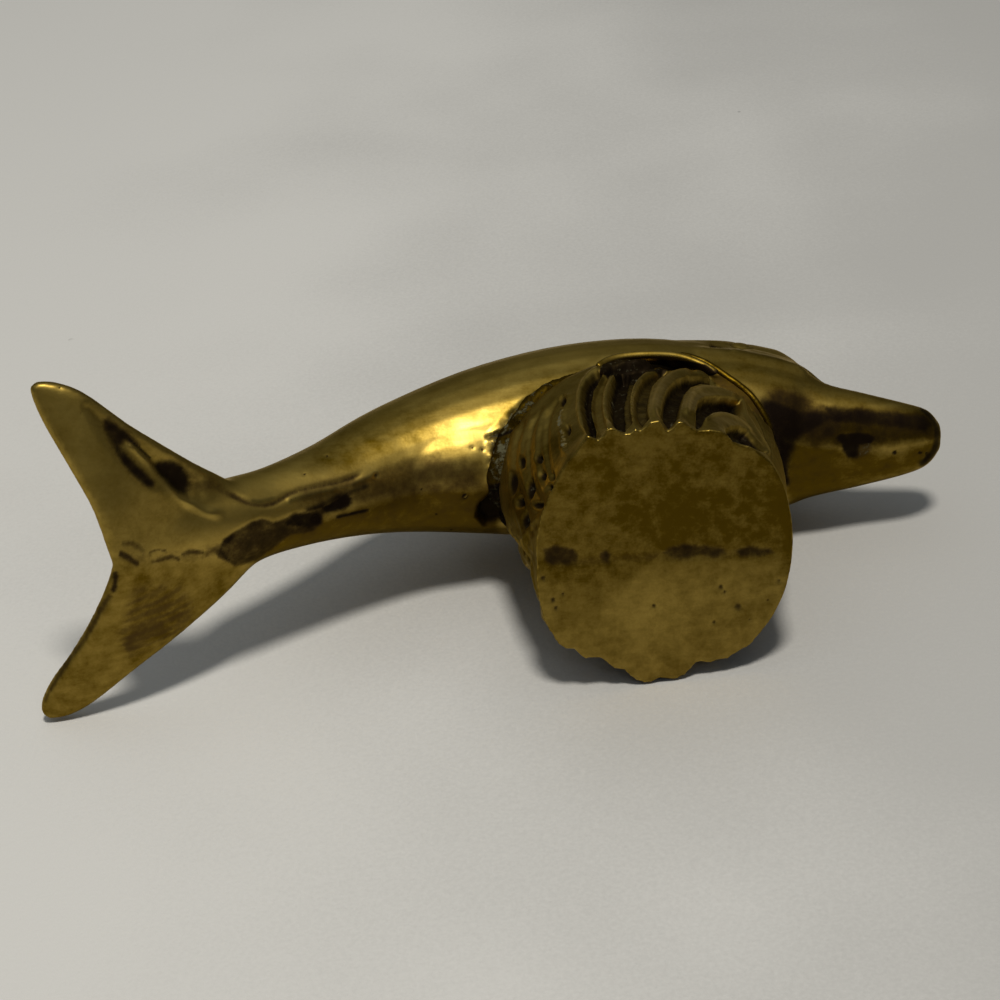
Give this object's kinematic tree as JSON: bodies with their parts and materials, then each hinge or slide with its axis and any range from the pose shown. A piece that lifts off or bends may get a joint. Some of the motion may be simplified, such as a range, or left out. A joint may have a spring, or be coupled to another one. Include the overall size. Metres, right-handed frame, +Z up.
{
  "type": "dolphin figurine",
  "caption": "Hollow brass dolphin figurine, leaping over a ribbed wave base with a flat oval foot.",
  "frame": {"origin": "middle of the flat bottom of the wave base", "axes": "+X towards the dolphin's beak, +Y towards its left side, +Z up; the figurine stands on its base"},
  "size_m": [0.1515, 0.0572, 0.0722],
  "materials": {
    "satin_brass": "satin, hand polished, brown tarnish in the hollows",
    "wave_brass": "polished ridges over dark olive patina in the grooves, ground flat underneath",
    "braze_metal": "rough, dark, with green verdigris in the crevices"
  },
  "bodies": {
    "root": {"dolphin_right_half": "satin_brass", "dolphin_left_half": "satin_brass", "dolphin_seam_braze": "braze_metal", "dorsal_fin": "satin_brass", "dorsal_fin_braze": "braze_metal", "right_pectoral_fin": "satin_brass", "left_pectoral_fin": "satin_brass", "wave_right_half": "wave_brass", "wave_left_half": "wave_brass", "wave_seam_braze": "braze_metal", "front_joint_braze": "braze_metal", "rear_joint_braze": "braze_metal"}
  },
  "joints": []
}
